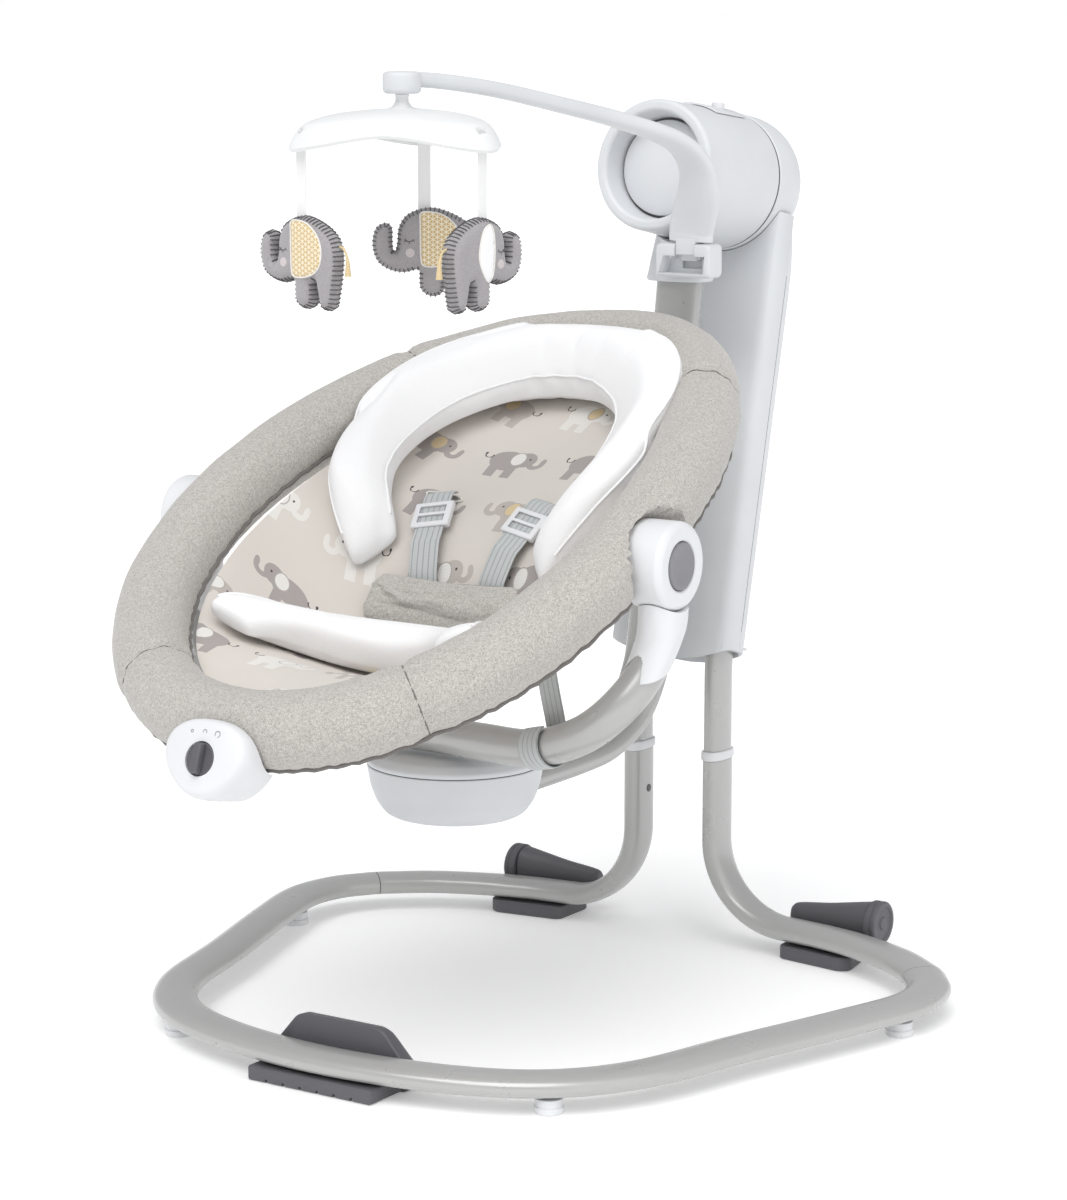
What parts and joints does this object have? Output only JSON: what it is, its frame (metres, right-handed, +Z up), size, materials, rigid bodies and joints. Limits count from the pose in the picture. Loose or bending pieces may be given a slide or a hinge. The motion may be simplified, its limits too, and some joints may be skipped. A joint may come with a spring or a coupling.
{
  "type": "baby swing",
  "caption": "Free-standing electric baby swing with a tubular base ring, drive column, swing arm, swivelling reclining padded seat and a hanging toy mobile.",
  "frame": {"origin": "on the floor at the middle of the swing's footprint", "axes": "+Z up, +X to the sitter's left, the seat faces -Y and the column stands at +Y"},
  "size_m": [0.6424, 0.8007, 0.758],
  "materials": {
    "silver_paint": "satin warm silver-grey paint",
    "pale_plastic": "satin moulded, fine grain",
    "dark_plastic": "satin moulded charcoal",
    "steel": "ground steel",
    "copper": "lacquered copper winding",
    "board_green": "green circuit board",
    "heather_fabric": "heather grey woven fabric with dark piping",
    "print_fabric": "beige cotton with a plain animal print",
    "white_fabric": "soft white jersey",
    "grey_webbing": "ribbed grey webbing",
    "grey_plush": "short grey plush with pale stitching"
  },
  "bodies": {
    "stand": {"base_tube_front": "silver_paint", "base_tube_rear_left": "silver_paint", "base_tube_rear_right": "silver_paint", "column_leg_left": "silver_paint", "column_leg_right": "silver_paint", "leg_collar_left": "pale_plastic", "leg_collar_right": "pale_plastic", "foot_front_left": "pale_plastic", "foot_front_right": "pale_plastic", "foot_side_left": "pale_plastic", "foot_side_right": "pale_plastic", "front_stabiliser": "dark_plastic", "rear_foot_left": "dark_plastic", "rear_foot_right": "dark_plastic", "column_front_cover": "pale_plastic", "column_rear_cover": "pale_plastic", "bearing_block": "dark_plastic", "axle_bearing": "steel", "drive_coil": "copper", "circuit_board": "board_green", "power_inlet": "dark_plastic"},
    "wheel_left": {"transport_wheel_left": "dark_plastic"},
    "wheel_right": {"transport_wheel_right": "dark_plastic"},
    "swing_arm": {"arm_drum": "pale_plastic", "drum_face_disc": "pale_plastic", "swing_shaft": "steel", "control_panel": "pale_plastic", "arm_sleeve": "pale_plastic", "arm_tube": "silver_paint", "hub_body": "pale_plastic", "swivel_bearing": "steel"},
    "power_key": {"power_button": "pale_plastic"},
    "speed_key": {"speed_button": "pale_plastic"},
    "turntable": {"swivel_plate": "pale_plastic", "seat_carrier_tube": "silver_paint", "carrier_sleeve_left": "pale_plastic", "carrier_sleeve_right": "pale_plastic", "retaining_strap_left": "grey_webbing", "retaining_strap_right": "grey_webbing"},
    "seat": {"rim_frame": "silver_paint", "rim_pad": "heather_fabric", "seat_sling": "print_fabric", "head_insert": "white_fabric", "hip_insert": "white_fabric", "crotch_pad": "heather_fabric", "shoulder_strap_left": "grey_webbing", "shoulder_strap_right": "grey_webbing", "hinge_housing_left": "pale_plastic", "hinge_housing_right": "pale_plastic", "vibration_pod": "pale_plastic"},
    "recline_key_left": {"recline_button_left": "dark_plastic"},
    "recline_key_right": {"recline_button_right": "dark_plastic"},
    "adjuster_left": {"strap_adjuster_left": "pale_plastic"},
    "adjuster_right": {"strap_adjuster_right": "pale_plastic"},
    "dial": {"vibration_dial": "dark_plastic"},
    "mobile": {"mobile_arm": "pale_plastic"},
    "canopy": {"mobile_canopy": "pale_plastic"},
    "toy_front": {"toy_front": "grey_plush"},
    "toy_right": {"toy_right": "grey_plush"},
    "toy_rear": {"toy_rear": "grey_plush"}
  },
  "joints": [
    {"name": "swing", "type": "hinge", "parent": "stand", "child": "swing_arm", "pos_m": [0, 0.328, 0.658], "axis": [0, 0.9877, -0.1564], "range_deg": [-14, 14]},
    {"name": "seat_swivel", "type": "hinge", "parent": "swing_arm", "child": "turntable", "pos_m": [0, -0.075, 0.2], "axis": [0, 0, 1], "range_deg": [-90, 90]},
    {"name": "seat_recline", "type": "hinge", "parent": "turntable", "child": "seat", "pos_m": [0, -0.12, 0.402], "axis": [1, 0, 0], "range_deg": [-8, 8], "deforming": ["retaining_strap_left", "retaining_strap_right"]},
    {"name": "recline_key_press_right", "type": "slide", "parent": "seat", "child": "recline_key_right", "axis": [1, 0, 0], "range_m": [0, 0.003], "stiffness_N_per_m": 600},
    {"name": "adjuster_slide_right", "type": "slide", "parent": "seat", "child": "adjuster_right", "axis": [-0.2243, 0.7063, 0.6715], "range_m": [-0.006, 0.006]},
    {"name": "wheel_roll_right", "type": "hinge", "parent": "stand", "child": "wheel_right", "pos_m": [-0.1855, 0.2925, 0.032], "axis": [1, 0, 0], "continuous": true},
    {"name": "recline_key_press_left", "type": "slide", "parent": "seat", "child": "recline_key_left", "axis": [-1, 0, 0], "range_m": [0, 0.003], "stiffness_N_per_m": 600},
    {"name": "adjuster_slide_left", "type": "slide", "parent": "seat", "child": "adjuster_left", "axis": [0.2243, 0.7063, 0.6715], "range_m": [-0.006, 0.006]},
    {"name": "wheel_roll_left", "type": "hinge", "parent": "stand", "child": "wheel_left", "pos_m": [0.1855, 0.2925, 0.032], "axis": [1, 0, 0], "continuous": true},
    {"name": "vibration_dial_turn", "type": "hinge", "parent": "seat", "child": "dial", "pos_m": [0, -0.38395, 0.27678], "axis": [0, -0.9397, 0.342], "range_deg": [-30, 30]},
    {"name": "power_key_press", "type": "slide", "parent": "swing_arm", "child": "power_key", "axis": [0, -0.1564, -0.9877], "range_m": [0, 0.0012], "stiffness_N_per_m": 600},
    {"name": "speed_key_press", "type": "slide", "parent": "swing_arm", "child": "speed_key", "axis": [0, -0.1564, -0.9877], "range_m": [0, 0.0012], "stiffness_N_per_m": 600},
    {"name": "mobile_pull", "type": "slide", "parent": "swing_arm", "child": "mobile", "axis": [0, -0.9877, 0.1564], "range_m": [0, 0.06]},
    {"name": "mobile_spin", "type": "hinge", "parent": "mobile", "child": "canopy", "pos_m": [0, -0.141, 0.74], "axis": [0, 0, 1], "continuous": true},
    {"name": "toy_swing_front", "type": "hinge", "parent": "canopy", "child": "toy_front", "pos_m": [-0.04699, -0.2045, 0.7065], "axis": [0.8039, -0.5948, 0], "range_deg": [-15, 15]},
    {"name": "toy_swing_right", "type": "hinge", "parent": "canopy", "child": "toy_right", "pos_m": [0.07849, -0.14994, 0.7065], "axis": [0.1132, 0.9936, 0], "range_deg": [-15, 15]},
    {"name": "toy_swing_rear", "type": "hinge", "parent": "canopy", "child": "toy_rear", "pos_m": [-0.0315, -0.06855, 0.7065], "axis": [-0.9171, -0.3987, 0], "range_deg": [-15, 15]}
  ]
}
